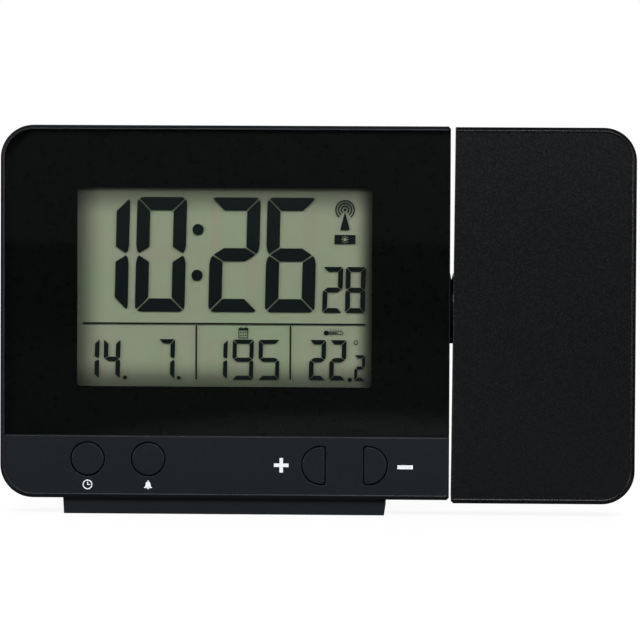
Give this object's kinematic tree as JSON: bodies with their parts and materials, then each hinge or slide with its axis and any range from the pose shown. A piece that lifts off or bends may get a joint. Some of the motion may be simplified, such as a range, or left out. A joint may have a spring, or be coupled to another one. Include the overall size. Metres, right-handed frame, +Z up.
{
  "type": "projection alarm clock",
  "caption": "Display clock casing on a foot with a side arm that swings on a hollow friction hub and holds a focusing projector turret.",
  "frame": {"origin": "middle of the bounding box's footprint, on the surface that the clock stands on", "axes": "+Z up, the display faces -Y, +X to the right of someone who reads the display"},
  "size_m": [0.1628, 0.038, 0.0999],
  "materials": {
    "housing_black": "fine matte",
    "button_black": "satin",
    "lens_clear": "clear, polished",
    "mask_black": "printed black",
    "lcd_glass": "grey green liquid crystal behind a polariser",
    "frame_white": "white, satin",
    "guide_clear": "clear moulded",
    "foam": "soft foam",
    "contact_rubber": "soft, striped",
    "plunger_black": "satin",
    "board_green": "solder resist over glass fibre",
    "parts_black": "moulded",
    "switch_black": "satin",
    "knob_black": "fine matte",
    "jack_black": "moulded",
    "ferrite": "sintered, grey",
    "coil_wire": "enamelled copper",
    "brass_disc": "bare",
    "sensor_bead": "epoxy bead",
    "contact_metal": "nickel plated",
    "cell_jacket": "plain printed sleeve over steel",
    "hub_black": "low-friction moulding",
    "washer_white": "low-friction washer",
    "cable_grey": "flat cable",
    "led_yellow": "phosphor",
    "plug_white": "moulded",
    "clear_lens": "clear moulded",
    "slide_glass": "small liquid crystal",
    "tube_black": "fine matte",
    "ring_black": "satin, ribbed",
    "clip_black": "satin",
    "arm_black": "fine matte"
  },
  "bodies": {
    "casing": {"front_housing": "housing_black", "rear_housing": "housing_black", "display_lens": "lens_clear", "lens_mask": "mask_black", "lcd_panel": "lcd_glass", "lcd_frame": "frame_white", "light_guide": "guide_clear", "light_guide_pad": "foam", "contact_strip": "contact_rubber", "main_board": "board_green", "board_parts": "parts_black", "push_switches": "switch_black", "rear_board": "board_green", "slide_switch": "switch_black", "supply_jack": "jack_black", "ferrite_rod": "ferrite", "antenna_coil": "coil_wire", "buzzer": "brass_disc", "temperature_sensor": "sensor_bead", "contact_plates": "contact_metal", "contact_springs": "contact_metal", "battery_cells": "cell_jacket", "friction_washer": "washer_white", "casing_loom": "cable_grey"},
    "arm": {"arm_front_shell": "arm_black", "arm_rear_shell": "arm_black", "hinge_hub": "hub_black", "arm_loom": "cable_grey", "arm_plug": "plug_white", "projector_board": "board_green", "projector_led": "led_yellow", "condenser_lens": "clear_lens", "image_slide": "slide_glass", "projector_tube": "tube_black", "ring_clip": "clip_black"},
    "focus_ring": {"focus_ring": "ring_black"},
    "lens_barrel": {"lens_barrel": "tube_black", "projection_lens": "clear_lens"},
    "snooze_bar": {"snooze_bar": "button_black", "snooze_plunger": "plunger_black"},
    "projection_knob": {"projection_knob": "knob_black"},
    "battery_door": {"battery_door": "housing_black"},
    "time_button": {"time_button": "button_black", "time_plunger": "plunger_black"},
    "alarm_button": {"alarm_button": "button_black", "alarm_plunger": "plunger_black"},
    "plus_button": {"plus_button": "button_black", "plus_plunger": "plunger_black"},
    "minus_button": {"minus_button": "button_black", "minus_plunger": "plunger_black"},
    "flip_button": {"flip_button": "button_black", "flip_plunger": "plunger_black"},
    "wave_button": {"wave_button": "button_black", "wave_plunger": "plunger_black"}
  },
  "joints": [
    {"name": "arm_swing", "type": "hinge", "parent": "casing", "child": "arm", "pos_m": [0.0344, -0.008, 0.0531], "axis": [1, 0, 0], "range_deg": [0, 180]},
    {"name": "focus_turn", "type": "hinge", "parent": "arm", "child": "focus_ring", "pos_m": [0.05792, 0.008, 0.07279], "axis": [0, 1, 0], "range_deg": [0, 180]},
    {"name": "barrel_focus", "type": "slide", "parent": "arm", "child": "lens_barrel", "axis": [0, 1, 0], "range_m": [0, 0.003]},
    {"name": "time_press", "type": "slide", "parent": "casing", "child": "time_button", "axis": [0, 1, 0], "range_m": [0, 0.0003], "stiffness_N_per_m": 1000, "springref_m": -0.0003},
    {"name": "alarm_press", "type": "slide", "parent": "casing", "child": "alarm_button", "axis": [0, 1, 0], "range_m": [0, 0.0003], "stiffness_N_per_m": 1000, "springref_m": -0.0003},
    {"name": "plus_press", "type": "slide", "parent": "casing", "child": "plus_button", "axis": [0, 1, 0], "range_m": [0, 0.0003], "stiffness_N_per_m": 1000, "springref_m": -0.0003},
    {"name": "minus_press", "type": "slide", "parent": "casing", "child": "minus_button", "axis": [0, 1, 0], "range_m": [0, 0.0003], "stiffness_N_per_m": 1000, "springref_m": -0.0003},
    {"name": "snooze_press", "type": "slide", "parent": "casing", "child": "snooze_bar", "axis": [0, 0, -1], "range_m": [0, 0.0003], "stiffness_N_per_m": 1000, "springref_m": -0.0003},
    {"name": "flip_press", "type": "slide", "parent": "casing", "child": "flip_button", "axis": [0, -1, 0], "range_m": [0, 0.0003], "stiffness_N_per_m": 1000, "springref_m": -0.0003},
    {"name": "wave_press", "type": "slide", "parent": "casing", "child": "wave_button", "axis": [0, -1, 0], "range_m": [0, 0.0003], "stiffness_N_per_m": 1000, "springref_m": -0.0003},
    {"name": "projection_switch", "type": "slide", "parent": "casing", "child": "projection_knob", "axis": [1, 0, 0], "range_m": [0, 0.003]},
    {"name": "battery_door_slide", "type": "slide", "parent": "casing", "child": "battery_door", "axis": [0, 0, 1], "range_m": [0, 0.034]}
  ],
  "couplings": [
    {"joint": "focus_turn", "follows": "barrel_focus", "rad_per_m": 1047.2}
  ]
}
